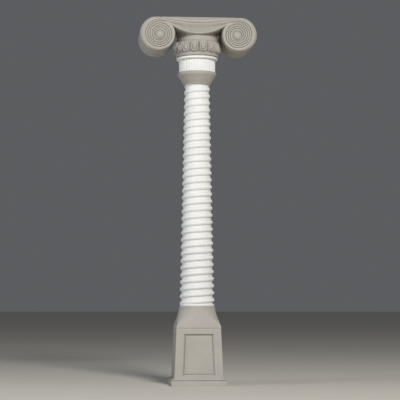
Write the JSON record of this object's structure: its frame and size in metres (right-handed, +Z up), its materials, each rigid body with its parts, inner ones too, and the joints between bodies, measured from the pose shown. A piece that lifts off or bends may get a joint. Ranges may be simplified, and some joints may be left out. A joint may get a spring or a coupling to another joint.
{
  "type": "twisted ionic column",
  "caption": "Free-standing Ionic column: volute capital over a reeded necking and a bell collar, on a slender twisted shaft and a panelled square pedestal.",
  "frame": {"origin": "middle of the pedestal's underside, on the column's axis", "axes": "+Z up the column's axis, -Y towards the front, where the volute spirals face, +X to the viewer's right"},
  "size_m": [0.868, 0.407, 2.7],
  "materials": {
    "warm_grey_cast_stone": "matte, fine grained",
    "white_cast_stone": "matte, smooth"
  },
  "bodies": {
    "root": {"pedestal": "warm_grey_cast_stone", "twisted_shaft": "white_cast_stone", "collar": "warm_grey_cast_stone", "necking": "white_cast_stone", "capital": "warm_grey_cast_stone"}
  },
  "joints": []
}
